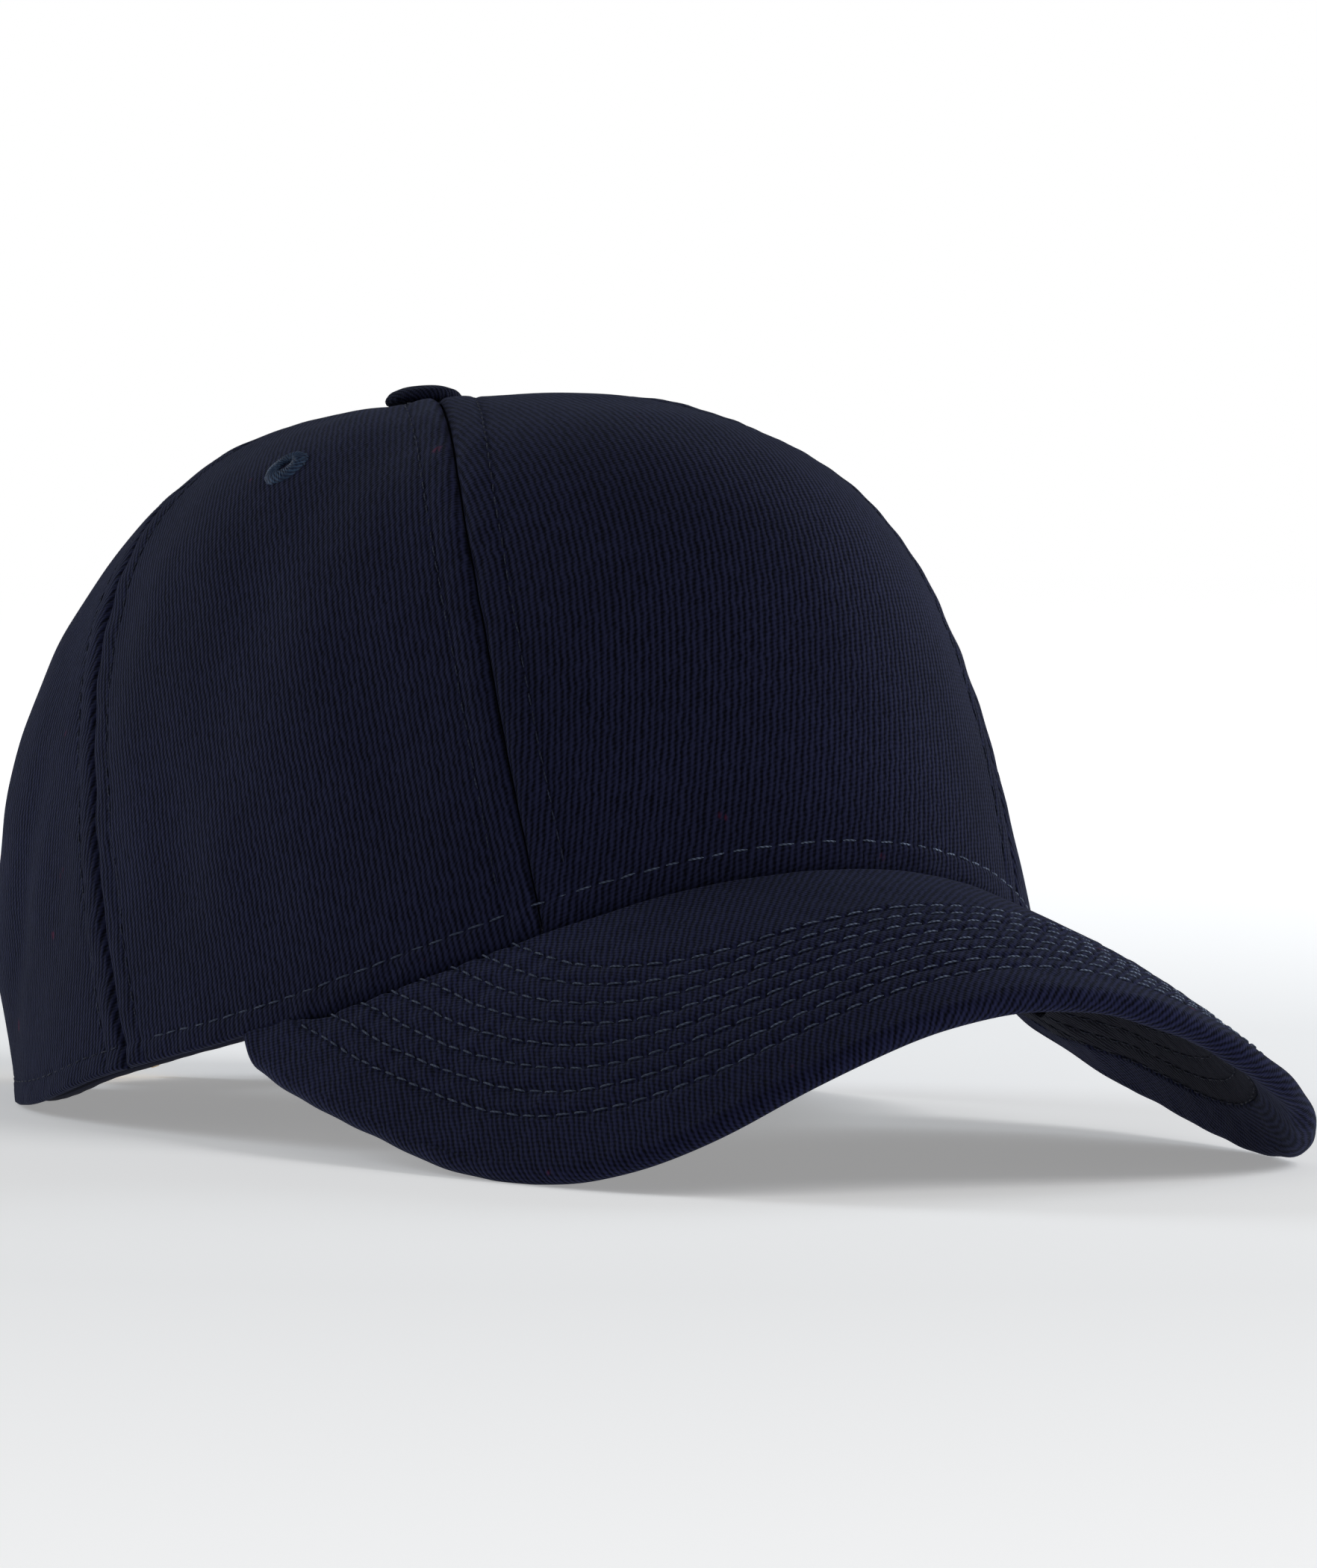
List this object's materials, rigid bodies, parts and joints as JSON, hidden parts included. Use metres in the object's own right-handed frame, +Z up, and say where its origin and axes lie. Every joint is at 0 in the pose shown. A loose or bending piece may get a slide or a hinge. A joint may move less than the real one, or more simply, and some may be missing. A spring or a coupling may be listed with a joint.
{
  "type": "baseball cap",
  "caption": "Structured baseball cap with a domed panelled crown, fabric-covered top button, curved stitched visor and an adjustable strap with a flip clasp at the back.",
  "frame": {"origin": "centre of the bounding box on the surface that the cap stands on, resting on the visor's two tips and the hem", "axes": "-Y is the way the wearer faces, -X is the wearer's right, +Z is up"},
  "size_m": [0.1612, 0.2904, 0.1243],
  "materials": {
    "crown_twill": "heavy brushed cotton twill, matt and slightly fuzzy",
    "visor_twill": "heavy brushed cotton twill with lighter topstitching",
    "button_cloth": "smooth cotton stretched over a shell",
    "buckram": "stiff open-weave mesh",
    "seam_tape": "plain woven cotton tape",
    "eyelet_thread": "satin-stitched thread",
    "sweatband_cloth": "soft cotton twill",
    "visor_plastic": "moulded polyethylene board",
    "button_metal": "pressed steel",
    "clasp_brass": "antiqued, lightly worn edges"
  },
  "bodies": {
    "cap": {"front_panel": "crown_twill", "side_panel_left": "crown_twill", "side_panel_right": "crown_twill", "back_panel_left": "crown_twill", "back_panel_right": "crown_twill", "strap": "crown_twill", "strap_tab": "crown_twill", "button_cover": "button_cloth", "visor_top_fabric": "visor_twill", "visor_under_fabric": "visor_twill", "front_buckram": "buckram", "front_seam_tape_left": "seam_tape", "front_seam_tape_right": "seam_tape", "rear_seam_tape_left": "seam_tape", "rear_seam_tape_right": "seam_tape", "centre_back_tape": "seam_tape", "arch_binding": "seam_tape", "side_eyelet_left": "eyelet_thread", "side_eyelet_right": "eyelet_thread", "back_eyelet_left": "eyelet_thread", "back_eyelet_right": "eyelet_thread", "button_shell": "button_metal", "button_tack": "button_metal", "sweatband": "sweatband_cloth", "visor_board": "visor_plastic", "buckle_frame": "clasp_brass", "buckle_pin": "clasp_brass"},
    "clasp_lever": {"buckle_lever": "clasp_brass"}
  },
  "joints": [
    {"name": "clasp_lever_hinge", "type": "hinge", "parent": "cap", "child": "clasp_lever", "pos_m": [-0.02011, 0.13931, 0.01352], "axis": [0.1944, -0.3199, -0.9273], "range_deg": [0, 100]}
  ]
}
